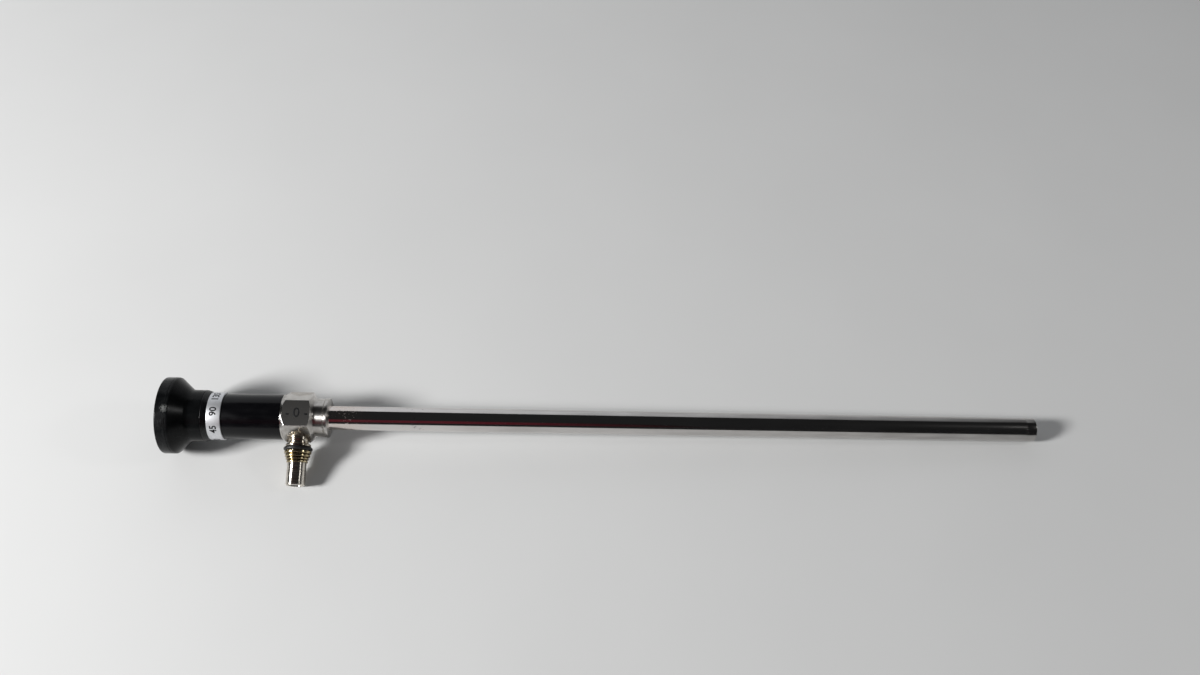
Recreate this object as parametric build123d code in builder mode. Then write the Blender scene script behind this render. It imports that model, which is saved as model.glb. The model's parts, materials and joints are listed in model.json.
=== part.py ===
"""Rigid rod-lens endoscope, lying on a table.

The row frame has +X from the eyepiece to the tip and +Z up. The table is z = 0 and the
origin is under the middle of the whole instrument. Every turned piece is drawn as
(distance along its axis, radius) on a plane that holds that axis. Distances along the
scope start at the eyepiece's front face, and distances along the light post start at
the scope's axis. All sizes are in millimetres.
"""

from build123d import *
from math import asin, atan2, cos, hypot, radians, sin
import os

os.makedirs("parts", exist_ok=True)

# Eyepiece cap
flange_dia = 32.0
flange_width = 5.2
flange_edge = 0.4
cone_length = 5.6
cone_blend = 1.2
neck_step = 1.3
neck_length = 6.0
neck_edge = 0.2
funnel_dia = 25.0
funnel_depth = 2.6
eye_aperture_depth = 0.8
core_socket_depth = 8.2

# Ocular window, soldered into its ring behind the aperture
window_ring_step = 0.37
window_ring_wall = 1.85
window_ring_lip = 0.4
window_ring_cover = 0.7
window_thickness = 2.0

# Lock ring behind the cap, with fine turned grooves
lock_ring_width = 2.2
lock_back_step = 0.1
lock_groove_count = 3
lock_groove_pitch = 0.55
lock_groove_depth = 0.2

# Body: the sleeve, the band that stands above it, and the tube that carries both
sleeve_dia = 19.1
sleeve_length = 24.2
sleeve_wall = 0.82
sleeve_edge = 0.15
band_step = 0.45
band_width = 5.8
core_tube_wall = 0.9

# Ocular lens, its cell and the field stop inside the body
lens_cell_wall = 1.2
lens_cell_length = 25.4
lens_seat_depth = 8.9
lens_seat_width = 1.0
lens_seat_lip = 0.8
ocular_lens_thickness = 4.6
ocular_lens_edge = 2.9
retainer_width = 1.5
retainer_wall = 1.5
field_stop_width = 1.0
field_stop_dia = 5.2

# Bush that centres the optics tube in the body
bush_lip_width = 1.0
bush_lip_dia = 5.8
bush_waist_width = 4.0
bush_waist_depth = 1.6

# Hexagonal light post body, nose and flange
hex_flats = 18.9
hex_length = 13.3
hex_collar_width = 0.6
hex_back_chamfer = 1.4
hex_front_chamfer = 1.8
hex_spigot_length = 5.0
hex_back_wall = 1.5
nose_dia = 16.2
nose_length = 4.3
nose_groove_width = 0.35
nose_groove_depth = 0.3
nose_flange_dia = 16.8
nose_flange_width = 1.5
nose_flange_edge = 0.5
shaft_socket_depth = 6.1
shaft_shoulder_width = 1.0
chamber_dia = 12.4

# Shaft tube, the ferrule welded to its tip, and the optics tube inside
shaft_dia = 10.0
shaft_wall = 0.3
shaft_root_step = 0.3
working_length = 302.8
ferrule_length = 4.0
ferrule_spigot_length = 2.0
ferrule_wall = 0.7
tip_edge = 0.2
optics_dia = 7.2
optics_wall = 0.2

# Lens train inside the optics tube
rod_count = 6
rod_bevel = 0.2
spacer_length = 5.5
spacer_wall = 0.35
objective_length = 8.0
objective_wall = 0.9
objective_seat_lip = 0.4
objective_lens_thickness = 2.4
objective_lens_dome = 0.5
objective_lens_place = 1.2
distal_window_thickness = 1.2

# Light post, placed from the hexagon's back end
post_place = 6.7
post_seat_reach = 7.2
post_seat_width = 1.0
post_boss_dia = 8.9
post_boss_length = 2.6
post_boss_slope = 0.5
post_waist_dia = 8.4
post_waist_length = 1.25
post_collar_dia = 10.4
post_collar_width = 1.05
post_collar_edge = 0.3
ring_dias = (11.1, 10.3, 9.5, 8.7)
ring_widths = (1.1, 0.9, 0.6, 0.7)
ring_gap_dias = (10.0, 9.1, 8.3)
ring_gap = 0.5
ring_slope = 0.2
middle_sleeve_dia = 7.8
middle_sleeve_length = 3.4
post_end_dia = 7.9
post_end_length = 6.16
post_end_edge = 0.3
post_joint_edge = 0.12
post_spigot_dia = 7.2
post_spigot_entry = 2.5
fibre_post_dia = 5.2
post_window_dia = 6.0
post_window_length = 1.8
post_window_recess = 0.3

# Rubber rings: the post's outer one, and those that seal the cap and the body
post_seal_dia = 11.9
post_seal_section = 1.6
cap_seal_section = 0.88
cap_seal_place = 4.2
body_seal_section = 0.88
body_seal_place = 2.5
seal_room = 0.3

# Clearances on the radius
fit = 0.03
glass_fit = 0.05
seal_fit = 0.01

# Radii that follow from the sizes above
flange_r = flange_dia / 2
sleeve_r = sleeve_dia / 2
band_r = sleeve_r + band_step
lock_back_r = band_r + lock_back_step
neck_r = sleeve_r + neck_step
on_core_r = sleeve_r - sleeve_wall
core_r = on_core_r - fit
core_bore_r = core_r - core_tube_wall
in_core_r = core_bore_r - fit
window_ring_r = in_core_r - window_ring_step
window_r = window_ring_r - window_ring_wall - glass_fit
aperture_r = window_r - window_ring_cover
cell_bore_r = in_core_r - lens_cell_wall
retainer_bore_r = cell_bore_r - retainer_wall
hex_corner_r = hex_flats / 2 / cos(radians(30))
nose_r = nose_dia / 2
chamber_r = chamber_dia / 2
shaft_r = shaft_dia / 2
shaft_bore_r = shaft_r - shaft_wall
shaft_root_r = shaft_r + shaft_root_step
ferrule_bore_r = shaft_r - ferrule_wall
optics_r = optics_dia / 2
lens_r = optics_r - optics_wall - glass_fit
spacer_bore_r = lens_r - spacer_wall
objective_bore_r = lens_r - objective_wall
boss_r = post_boss_dia / 2
waist_r = post_waist_dia / 2
collar_r = post_collar_dia / 2
spigot_r = post_spigot_dia / 2
post_end_r = post_end_dia / 2
fibre_r = fibre_post_dia / 2
post_window_r = post_window_dia / 2
cap_groove_r = core_r + cap_seal_section + 2 * seal_fit
body_groove_r = core_bore_r - body_seal_section - 2 * seal_fit
post_groove_r = post_seal_dia / 2 - post_seal_section - seal_fit

# Places along the scope, from the eyepiece's front face
cone_end = flange_width + cone_length
cap_end = cone_end + neck_length
lock_end = cap_end + lock_ring_width
band_end = lock_end + band_width
sleeve_end = band_end + sleeve_length
collar_face = sleeve_end + hex_collar_width
hex_end = sleeve_end + hex_length
nose_end = hex_end + nose_length
nose_flange_end = nose_end + nose_flange_width
tip = nose_flange_end + working_length
window_seat = funnel_depth + eye_aperture_depth
window_start = window_seat + window_ring_lip
window_end = window_start + window_thickness
core_start = cap_end - core_socket_depth
cap_seal_s = core_start + cap_seal_place
lens_seat = core_start + lens_seat_depth
lens_land = lens_seat - ocular_lens_edge
cell_end = core_start + lens_cell_length
stop_end = cell_end + field_stop_width
optics_start = stop_end + bush_lip_width
spigot_start = sleeve_end - hex_spigot_length
bush_middle = (stop_end + spigot_start) / 2
body_seal_s = spigot_start + body_seal_place
chamber_start = sleeve_end + hex_back_wall
shaft_start = nose_end - shaft_socket_depth
chamber_end = shaft_start - shaft_shoulder_width
post_s = sleeve_end + post_place
ferrule_start = tip - ferrule_length
ferrule_spigot_start = ferrule_start - ferrule_spigot_length
distal_window_start = tip - distal_window_thickness
objective_start = distal_window_start - objective_length
objective_seat = distal_window_start - objective_lens_place - objective_lens_thickness
train_length = objective_start - optics_start
rod_length = (train_length - (rod_count + 1) * spacer_length) / rod_count

# Places along the light post, from the scope's axis
boss_end = post_seat_reach + post_boss_length
waist_start = boss_end + post_boss_slope
collar_start = waist_start + post_waist_length
collar_end = collar_start + post_collar_width
rings_start = collar_end + post_seal_section + seal_room
rings_end = rings_start + sum(ring_widths) + ring_gap * (len(ring_widths) - 1)
middle_end = rings_end + middle_sleeve_length
spigot_end = middle_end + post_spigot_entry
post_end = middle_end + post_end_length
post_window_end = post_end - post_window_recess
post_window_start = post_window_end - post_window_length

# The scope lies on the flange's back edge and the tip's lower edge, both chamfered
rest_run = (tip - tip_edge) - (flange_width - flange_edge)
tilt = atan2(flange_r - shaft_r, rest_run)
axis_height = (flange_width - flange_edge) * sin(tilt) + flange_r * cos(tilt)

# It has rolled until the light post's end edge touches the table too
post_height = axis_height - post_s * sin(tilt)
end_reach = post_end - post_end_edge
post_dip = asin(post_height / hypot(end_reach, post_end_r)) - atan2(post_end_r, end_reach)
post_roll = asin(sin(post_dip) / cos(tilt))

# The origin lies under the middle of what the instrument covers
low_x = -(flange_r - flange_edge) * sin(tilt)
high_x = tip * cos(tilt) + (shaft_r - tip_edge) * sin(tilt)
low_y = -post_end * cos(post_roll) - (post_end_r - post_end_edge) * sin(post_roll)
start = Vector(-(low_x + high_x) / 2, -(low_y + flange_r) / 2, axis_height)

along = Vector(cos(tilt), 0, -sin(tilt))
upward = Vector(sin(tilt), 0, cos(tilt))
outward = Vector(0, -cos(post_roll), 0) - upward * sin(post_roll)
post_centre = start + along * post_s

scope_axis = Axis(start, along)
scope_plane = Plane(origin=start, x_dir=along, z_dir=(0, -1, 0))
post_axis = Axis(post_centre, outward)
post_plane = Plane(origin=post_centre, x_dir=outward, z_dir=outward.cross(along))


def across_scope(place):
    """Plane square to the scope's axis, its x side towards the light post."""
    return Plane(origin=start + along * place, x_dir=outward, z_dir=along)


def across_post(reach):
    """Plane square to the light post's axis, at a distance from the scope's axis."""
    return Plane(origin=post_centre + outward * reach, x_dir=along, z_dir=outward)


def tube_wall(begin, end, inner_r, outer_r):
    """Draw a tube's wall, or a rod where the inner radius is zero."""
    with Locations(((begin + end) / 2, (inner_r + outer_r) / 2)):
        Rectangle(end - begin, outer_r - inner_r)


def groove(middle, width, floor_r, mouth_r):
    """Cut a groove's section out of the open sketch, between its floor and its mouth."""
    with Locations((middle, (floor_r + mouth_r) / 2)):
        Rectangle(width, abs(mouth_r - floor_r), mode=Mode.SUBTRACT)


# Eyepiece cap: rim, hollow cone and neck outside, funnel and stepped bore inside
with BuildPart() as eyepiece_cap:
    with BuildSketch(scope_plane):
        with BuildLine():
            FilletPolyline(
                (0, funnel_dia / 2),
                (0, flange_r - flange_edge),
                (flange_edge, flange_r),
                (flange_width - flange_edge, flange_r),
                (flange_width, flange_r - flange_edge),
                (cone_end, neck_r),
                (cap_end - neck_edge, neck_r),
                (cap_end, neck_r - neck_edge),
                (cap_end, on_core_r),
                (core_start, on_core_r),
                (core_start, window_ring_r + fit),
                (window_seat, window_ring_r + fit),
                (window_seat, aperture_r),
                (funnel_depth, aperture_r),
                radius=(0, 0, 0, 0, 0, cone_blend, 0, 0, 0, 0, 0, 0, 0, 0),
                close=True,
            )
        make_face()
        groove(cap_seal_s, cap_seal_section + seal_room, cap_groove_r, on_core_r)
    revolve(axis=scope_axis)

eyepiece_cap.part.label = "eyepiece_cap"
export_step(eyepiece_cap.part, "parts/eyepiece_cap.step")


# Ocular window, a flat disc behind the aperture
with BuildPart() as ocular_window:
    with BuildSketch(scope_plane):
        tube_wall(window_start, window_end, 0, window_r)
    revolve(axis=scope_axis)

ocular_window.part.label = "ocular_window"
export_step(ocular_window.part, "parts/ocular_window.step")


# Ring that the window is soldered into, with a lip in front of the glass
with BuildPart() as ocular_window_ring:
    with BuildSketch(scope_plane):
        with BuildLine():
            Polyline(
                (window_seat, aperture_r),
                (window_seat, window_ring_r),
                (core_start, window_ring_r),
                (core_start, window_r + glass_fit),
                (window_start, window_r + glass_fit),
                (window_start, aperture_r),
                close=True,
            )
        make_face()
    revolve(axis=scope_axis)

ocular_window_ring.part.label = "ocular_window_ring"
export_step(ocular_window_ring.part, "parts/ocular_window_ring.step")


# Square rubber ring that seals the cap on the core tube
with BuildPart() as cap_seal:
    with BuildSketch(scope_plane):
        with Locations((cap_seal_s, (core_r + cap_groove_r) / 2)):
            Rectangle(cap_seal_section, cap_seal_section)
    revolve(axis=scope_axis)

cap_seal.part.label = "cap_seal"
export_step(cap_seal.part, "parts/cap_seal.step")


# Lock ring that clamps the cap, tapered, with fine grooves turned into its flank
with BuildPart() as lock_ring:
    with BuildSketch(scope_plane):
        with BuildLine():
            Polyline(
                (cap_end, on_core_r),
                (cap_end, neck_r),
                (lock_end, lock_back_r),
                (lock_end, on_core_r),
                close=True,
            )
        make_face()
        for number in range(lock_groove_count):
            along_flank = lock_groove_pitch * (number - (lock_groove_count - 1) / 2)
            share = 0.5 + along_flank / lock_ring_width
            groove_s = cap_end + lock_ring_width * share
            with Locations((groove_s, neck_r + (lock_back_r - neck_r) * share)):
                RegularPolygon(lock_groove_depth, 4, mode=Mode.SUBTRACT)
    revolve(axis=scope_axis)

lock_ring.part.label = "lock_ring"
export_step(lock_ring.part, "parts/lock_ring.step")


# Silver band behind the lock ring
with BuildPart() as label_band:
    with BuildSketch(scope_plane):
        tube_wall(lock_end, band_end, on_core_r, band_r)
        chamfer(vertices().group_by(Axis.Y)[-1], sleeve_edge)
    revolve(axis=scope_axis)

label_band.part.label = "label_band"
export_step(label_band.part, "parts/label_band.step")


# Black sleeve between the band and the hexagonal body
with BuildPart() as body_sleeve:
    with BuildSketch(scope_plane):
        tube_wall(band_end, sleeve_end, on_core_r, sleeve_r)
        chamfer(vertices().group_by(Axis.Y)[-1], sleeve_edge)
    revolve(axis=scope_axis)

body_sleeve.part.label = "body_sleeve"
export_step(body_sleeve.part, "parts/body_sleeve.step")


# Steel tube that joins the cap to the hexagonal body
with BuildPart() as core_tube:
    with BuildSketch(scope_plane):
        tube_wall(core_start, sleeve_end, core_bore_r, core_r)
    revolve(axis=scope_axis)

core_tube.part.label = "core_tube"
export_step(core_tube.part, "parts/core_tube.step")


# Cell of the ocular lens, a tube with a narrow seat inside
with BuildPart() as lens_cell:
    with BuildSketch(scope_plane):
        tube_wall(core_start, cell_end, cell_bore_r, in_core_r)
        tube_wall(
            lens_seat, lens_seat + lens_seat_width, cell_bore_r - lens_seat_lip, in_core_r
        )
    revolve(axis=scope_axis)

lens_cell.part.label = "lens_cell"
export_step(lens_cell.part, "parts/lens_cell.step")


# Ocular lens, flat on its seat and domed towards the eye
with BuildPart() as ocular_lens:
    with BuildSketch(scope_plane):
        with BuildLine():
            lens_top = lens_seat - ocular_lens_thickness
            TangentArc((lens_top, 0), (lens_land, retainer_bore_r), tangent=(0, 1))
            Polyline(
                (lens_land, retainer_bore_r),
                (lens_land, cell_bore_r - glass_fit),
                (lens_seat, cell_bore_r - glass_fit),
                (lens_seat, 0),
                (lens_top, 0),
            )
        make_face()
    revolve(axis=scope_axis)

ocular_lens.part.label = "ocular_lens"
export_step(ocular_lens.part, "parts/ocular_lens.step")


# Threaded ring that holds the ocular lens on its seat
with BuildPart() as lens_retainer:
    with BuildSketch(scope_plane):
        tube_wall(
            lens_land - retainer_width, lens_land, retainer_bore_r, cell_bore_r - fit
        )
    revolve(axis=scope_axis)

lens_retainer.part.label = "lens_retainer"
export_step(lens_retainer.part, "parts/lens_retainer.step")


# Field stop, the round mask at the image plane
with BuildPart() as field_stop:
    with BuildSketch(scope_plane):
        tube_wall(cell_end, stop_end, field_stop_dia / 2, in_core_r)
    revolve(axis=scope_axis)

field_stop.part.label = "field_stop"
export_step(field_stop.part, "parts/field_stop.step")


# Waisted bush that centres the optics tube
with BuildPart() as optics_bush:
    with BuildSketch(scope_plane):
        tube_wall(stop_end, spigot_start, optics_r + fit, in_core_r)
        tube_wall(stop_end, optics_start, bush_lip_dia / 2, in_core_r)
        waist_floor_r = in_core_r - bush_waist_depth
        groove(bush_middle, bush_waist_width, waist_floor_r, in_core_r)
    revolve(axis=scope_axis)

optics_bush.part.label = "optics_bush"
export_step(optics_bush.part, "parts/optics_bush.step")


# Hexagonal body: a bar end chamfered like a nut, with a corner towards the light post
with BuildPart() as hex_body:
    with BuildSketch(scope_plane):
        with BuildLine():
            Polyline(
                (collar_face, 0),
                (collar_face, sleeve_r),
                (collar_face + hex_back_chamfer, hex_corner_r),
                (hex_end - hex_front_chamfer, hex_corner_r),
                (hex_end, nose_r),
                (hex_end, 0),
                close=True,
            )
        make_face()
    revolve(axis=scope_axis)
    with BuildSketch(across_scope(collar_face)):
        RegularPolygon(hex_corner_r, 6)
    extrude(amount=hex_end - collar_face, mode=Mode.INTERSECT)
    # Spigot, round collar and nose
    with BuildSketch(scope_plane):
        tube_wall(spigot_start, sleeve_end, 0, in_core_r)
        tube_wall(sleeve_end, collar_face, 0, sleeve_r)
        tube_wall(hex_end, nose_end, 0, nose_r)
        groove(
            body_seal_s, body_seal_section + seal_room, body_groove_r, in_core_r
        )
        groove(
            nose_end - nose_groove_width / 2,
            nose_groove_width,
            nose_r - nose_groove_depth,
            nose_r,
        )
    revolve(axis=scope_axis)
    # Optics bore, fibre chamber, shoulder and shaft socket
    with BuildSketch(scope_plane):
        tube_wall(spigot_start, chamber_end, 0, optics_r + fit)
        tube_wall(chamber_start, chamber_end, 0, chamber_r)
        tube_wall(chamber_end, shaft_start, 0, shaft_bore_r)
        tube_wall(shaft_start, nose_end, 0, shaft_root_r + fit)
    revolve(axis=scope_axis, mode=Mode.SUBTRACT)
    # Stepped bore of the light post, through the hexagon's corner
    with BuildSketch(across_post(0)):
        Circle(boss_r - post_seat_width)
    extrude(amount=post_seat_reach, mode=Mode.SUBTRACT)
    with BuildSketch(across_post(post_seat_reach)):
        Circle(boss_r + fit)
    extrude(amount=hex_corner_r, mode=Mode.SUBTRACT)

hex_body.part.label = "hex_body"
export_step(hex_body.part, "parts/hex_body.step")


# Square rubber ring on the hexagonal body's spigot
with BuildPart() as body_seal:
    with BuildSketch(scope_plane):
        with Locations((body_seal_s, (core_bore_r + body_groove_r) / 2)):
            Rectangle(body_seal_section, body_seal_section)
    revolve(axis=scope_axis)

body_seal.part.label = "body_seal"
export_step(body_seal.part, "parts/body_seal.step")


# Flange that closes the nose round the shaft
with BuildPart() as nose_flange:
    with BuildSketch(scope_plane):
        tube_wall(nose_end, nose_flange_end, shaft_root_r + fit, nose_flange_dia / 2)
        chamfer(vertices().group_by(Axis.Y)[-1], nose_flange_edge)
    revolve(axis=scope_axis)

nose_flange.part.label = "nose_flange"
export_step(nose_flange.part, "parts/nose_flange.step")


# Outer tube of the shaft, with a thicker root brazed into the nose and its flange
with BuildPart() as shaft_tube:
    with BuildSketch(scope_plane):
        tube_wall(shaft_start, ferrule_start, shaft_bore_r, shaft_r)
        tube_wall(shaft_start, nose_flange_end, shaft_bore_r, shaft_root_r)
    revolve(axis=scope_axis)

shaft_tube.part.label = "shaft_tube"
export_step(shaft_tube.part, "parts/shaft_tube.step")


# Ferrule at the tip, its spigot inside the shaft tube
with BuildPart() as distal_ferrule:
    with BuildSketch(scope_plane):
        with BuildLine():
            Polyline(
                (ferrule_spigot_start, ferrule_bore_r),
                (ferrule_spigot_start, shaft_bore_r - fit),
                (ferrule_start, shaft_bore_r - fit),
                (ferrule_start, shaft_r),
                (tip - tip_edge, shaft_r),
                (tip, shaft_r - tip_edge),
                (tip, ferrule_bore_r),
                close=True,
            )
        make_face()
    revolve(axis=scope_axis)

distal_ferrule.part.label = "distal_ferrule"
export_step(distal_ferrule.part, "parts/distal_ferrule.step")


# Inner tube that holds the lens train
with BuildPart() as optics_tube:
    with BuildSketch(scope_plane):
        tube_wall(optics_start, tip, optics_r - optics_wall, optics_r)
    revolve(axis=scope_axis)

optics_tube.part.label = "optics_tube"
export_step(optics_tube.part, "parts/optics_tube.step")


# Window in the tip, flush with the end of the optics tube
with BuildPart() as distal_window:
    with BuildSketch(scope_plane):
        tube_wall(distal_window_start, tip, 0, lens_r)
    revolve(axis=scope_axis)

distal_window.part.label = "distal_window"
export_step(distal_window.part, "parts/distal_window.step")


# Barrel of the objective, with a seat for its lens
with BuildPart() as objective_barrel:
    with BuildSketch(scope_plane):
        tube_wall(objective_start, distal_window_start, objective_bore_r, lens_r)
        seat_r = objective_bore_r - objective_seat_lip
        tube_wall(objective_start, objective_seat, seat_r, lens_r)
    revolve(axis=scope_axis)

objective_barrel.part.label = "objective_barrel"
export_step(objective_barrel.part, "parts/objective_barrel.step")


# Objective lens, flat on its seat and domed towards the window
with BuildPart() as objective_lens:
    with BuildSketch(scope_plane):
        with BuildLine():
            dome_top = objective_seat + objective_lens_thickness
            rim_top = dome_top - objective_lens_dome
            rim_r = objective_bore_r - glass_fit
            TangentArc((dome_top, 0), (rim_top, rim_r), tangent=(0, 1))
            Polyline(
                (rim_top, rim_r), (objective_seat, rim_r), (objective_seat, 0), (dome_top, 0)
            )
        make_face()
    revolve(axis=scope_axis)

objective_lens.part.label = "objective_lens"
export_step(objective_lens.part, "parts/objective_lens.step")


# Spacer tubes between the rod lenses, one more than there are rods
for number in range(rod_count + 1):
    spacer_start = optics_start + number * (spacer_length + rod_length)
    with BuildPart() as spacer_tube:
        with BuildSketch(scope_plane):
            tube_wall(spacer_start, spacer_start + spacer_length, spacer_bore_r, lens_r)
        revolve(axis=scope_axis)
    spacer_tube.part.label = f"spacer_tube_{number + 1}"
    export_step(spacer_tube.part, f"parts/spacer_tube_{number + 1}.step")


# Rod lenses with bevelled ends, each end's land on a spacer tube
for number in range(rod_count):
    rod_start = optics_start + spacer_length + number * (spacer_length + rod_length)
    with BuildPart() as rod_lens:
        with BuildSketch(scope_plane):
            tube_wall(rod_start, rod_start + rod_length, 0, lens_r)
            chamfer(vertices().group_by(Axis.Y)[-1], rod_bevel)
        revolve(axis=scope_axis)
    rod_lens.part.label = f"rod_lens_{number + 1}"
    export_step(rod_lens.part, f"parts/rod_lens_{number + 1}.step")


# Light fibres: one bundle from the post fans out round the optics tube to the tip
with BuildPart() as light_fibres:
    with BuildSketch(scope_plane):
        inner_r = optics_r + glass_fit
        tube_wall(chamber_start, chamber_end, inner_r, chamber_r - glass_fit)
        tube_wall(
            chamber_end, ferrule_spigot_start, inner_r, shaft_bore_r - glass_fit
        )
        tube_wall(ferrule_spigot_start, tip, inner_r, ferrule_bore_r - glass_fit)
    revolve(axis=scope_axis)
    with BuildSketch(across_post(chamber_r - fibre_r / 2)):
        Circle(fibre_r)
    extrude(amount=post_window_start - chamber_r + fibre_r / 2)

light_fibres.part.label = "light_fibres"
export_step(light_fibres.part, "parts/light_fibres.step")


# Stem of the light post: boss, waist, collar, seal groove and spigot, bored through
with BuildPart() as post_stem:
    with BuildSketch(post_plane):
        with BuildLine():
            Polyline(
                (post_seat_reach, fibre_r + glass_fit),
                (post_seat_reach, boss_r),
                (boss_end, boss_r),
                (waist_start, waist_r),
                (collar_start, waist_r),
                (collar_start, collar_r - post_collar_edge),
                (collar_start + post_collar_edge, collar_r),
                (collar_end - post_collar_edge, collar_r),
                (collar_end, collar_r - post_collar_edge),
                (collar_end, post_groove_r),
                (rings_start, post_groove_r),
                (rings_start, spigot_r),
                (spigot_end, spigot_r),
                (spigot_end, fibre_r + glass_fit),
                close=True,
            )
        make_face()
    revolve(axis=post_axis)

post_stem.part.label = "post_stem"
export_step(post_stem.part, "parts/post_stem.step")


# Black rubber ring in the stem's groove
with BuildPart() as post_seal:
    with BuildSketch(post_plane):
        seal_r = post_groove_r + seal_fit + post_seal_section / 2
        with Locations(((collar_end + rings_start) / 2, seal_r)):
            Circle(post_seal_section / 2)
    revolve(axis=post_axis)

post_seal.part.label = "post_seal"
export_step(post_seal.part, "parts/post_seal.step")


# Adapter sleeve with turned rings that step down along the post
with BuildPart() as ring_sleeve:
    with BuildSketch(post_plane):
        tube_wall(rings_start, rings_end, spigot_r + fit, ring_gap_dias[-1] / 2)
        ring_start = rings_start
        for number, (ring_dia, ring_width) in enumerate(zip(ring_dias, ring_widths)):
            ring_end = ring_start + ring_width
            with BuildLine():
                Polyline(
                    (ring_start, spigot_r + fit),
                    (ring_start, ring_dia / 2 - ring_slope),
                    (ring_start + ring_slope, ring_dia / 2),
                    (ring_end - ring_slope, ring_dia / 2),
                    (ring_end, ring_dia / 2 - ring_slope),
                    (ring_end, spigot_r + fit),
                    close=True,
                )
            make_face()
            if number < len(ring_gap_dias):
                gap_r = ring_gap_dias[number] / 2
                tube_wall(ring_end, ring_end + ring_gap, spigot_r + fit, gap_r)
            ring_start = ring_end + ring_gap
    revolve(axis=post_axis)

ring_sleeve.part.label = "ring_sleeve"
export_step(ring_sleeve.part, "parts/ring_sleeve.step")


# Smooth sleeve between the rings and the post's end
with BuildPart() as middle_sleeve:
    with BuildSketch(post_plane):
        tube_wall(rings_end, middle_end, spigot_r + fit, middle_sleeve_dia / 2)
        chamfer(vertices().group_by(Axis.Y)[-1], post_joint_edge)
    revolve(axis=post_axis)

middle_sleeve.part.label = "middle_sleeve"
export_step(middle_sleeve.part, "parts/middle_sleeve.step")


# End of the post, screwed on the spigot, with a seat for the glass
with BuildPart() as post_end_sleeve:
    with BuildSketch(post_plane):
        with BuildLine():
            Polyline(
                (middle_end, spigot_r + fit),
                (middle_end, post_end_r - post_joint_edge),
                (middle_end + post_joint_edge, post_end_r),
                (post_end - post_end_edge, post_end_r),
                (post_end, post_end_r - post_end_edge),
                (post_end, post_window_r + glass_fit),
                (post_window_start, post_window_r + glass_fit),
                (post_window_start, fibre_r + glass_fit),
                (spigot_end, fibre_r + glass_fit),
                (spigot_end, spigot_r + fit),
                close=True,
            )
        make_face()
    revolve(axis=post_axis)

post_end_sleeve.part.label = "post_end_sleeve"
export_step(post_end_sleeve.part, "parts/post_end_sleeve.step")


# Glass in the end of the light post
with BuildPart() as post_window:
    with BuildSketch(post_plane):
        tube_wall(post_window_start, post_window_end, 0, post_window_r)
    revolve(axis=post_axis)

post_window.part.label = "post_window"
export_step(post_window.part, "parts/post_window.step")
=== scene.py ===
"""Looks of the rigid endoscope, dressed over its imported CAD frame.

Everything is in metres in the frame's own axes: +X from the eyepiece to the tip, +Z up
from the table. Turned pieces are drawn as (distance along the axis, radius) in
millimetres and turned round the scope's axis or the light post's axis.
"""

import json
from math import cos, hypot, radians, sin, tau

import bmesh
import bpy
from mathutils import Matrix, Vector


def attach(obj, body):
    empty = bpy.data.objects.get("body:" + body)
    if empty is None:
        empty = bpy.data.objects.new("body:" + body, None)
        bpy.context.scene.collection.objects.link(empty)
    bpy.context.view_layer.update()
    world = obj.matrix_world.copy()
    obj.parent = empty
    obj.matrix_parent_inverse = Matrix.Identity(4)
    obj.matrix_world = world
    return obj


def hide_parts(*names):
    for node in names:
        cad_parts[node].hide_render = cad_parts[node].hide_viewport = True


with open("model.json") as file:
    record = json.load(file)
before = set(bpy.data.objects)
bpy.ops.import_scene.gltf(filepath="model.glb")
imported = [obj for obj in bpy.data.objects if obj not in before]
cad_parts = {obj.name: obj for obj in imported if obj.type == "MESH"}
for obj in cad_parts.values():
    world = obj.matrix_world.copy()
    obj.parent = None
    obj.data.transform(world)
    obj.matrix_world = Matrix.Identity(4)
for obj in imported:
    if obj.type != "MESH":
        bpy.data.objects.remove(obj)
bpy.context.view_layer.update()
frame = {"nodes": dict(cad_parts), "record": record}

MM = 0.001
SIDES = 144
SMOOTH_ANGLE = radians(32)

# The two axes, read from the record's mounts
mounts = {mount["name"]: mount for mount in frame["record"]["mounts"]}
along = Vector(mounts["shaft"]["axis"]).normalized()
outward = Vector(mounts["light_post"]["axis"]).normalized()
on_axis = Vector(mounts["shaft"]["pos_m"])
post_spot = Vector(mounts["light_post"]["pos_m"])


def axis_frame(origin, axis, sideways):
    """Place whose Z runs along an axis and whose X is turned sideways."""
    z = axis.normalized()
    x = (sideways - z * sideways.dot(z)).normalized()
    turned_axes = Matrix((x, z.cross(x), z)).transposed().to_4x4()
    return Matrix.Translation(origin) @ turned_axes


front_reach = min((v.co - on_axis).dot(along) for v in frame["nodes"]["eyepiece_cap"].data.vertices)
eyepiece_face = on_axis + along * front_reach
post_foot = on_axis + along * (post_spot - on_axis).dot(along)
scope = axis_frame(eyepiece_face, along, outward)
post = axis_frame(post_foot, outward, along)


def extent(node, place):
    """Start, end, smallest and largest radius of a turned CAD node, in millimetres."""
    inverse = place.inverted()
    spots = [inverse @ v.co for v in frame["nodes"][node].data.vertices]
    reaches = [spot.z / MM for spot in spots]
    radii = [hypot(spot.x, spot.y) / MM for spot in spots]
    return min(reaches), max(reaches), min(radii), max(radii)


# Camera: a phone held above the table, on the light post's side
CAMERA_AHEAD = 173.15
CAMERA_ASIDE = 255.80
CAMERA_HEIGHT = 400.58
CAMERA_TURN = 1.831
CAMERA_DIP = 52.246
CAMERA_ROLL = 1.558
SENSOR_WIDTH = 36.0
LENS_PER_WIDTH = 0.9054

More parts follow.
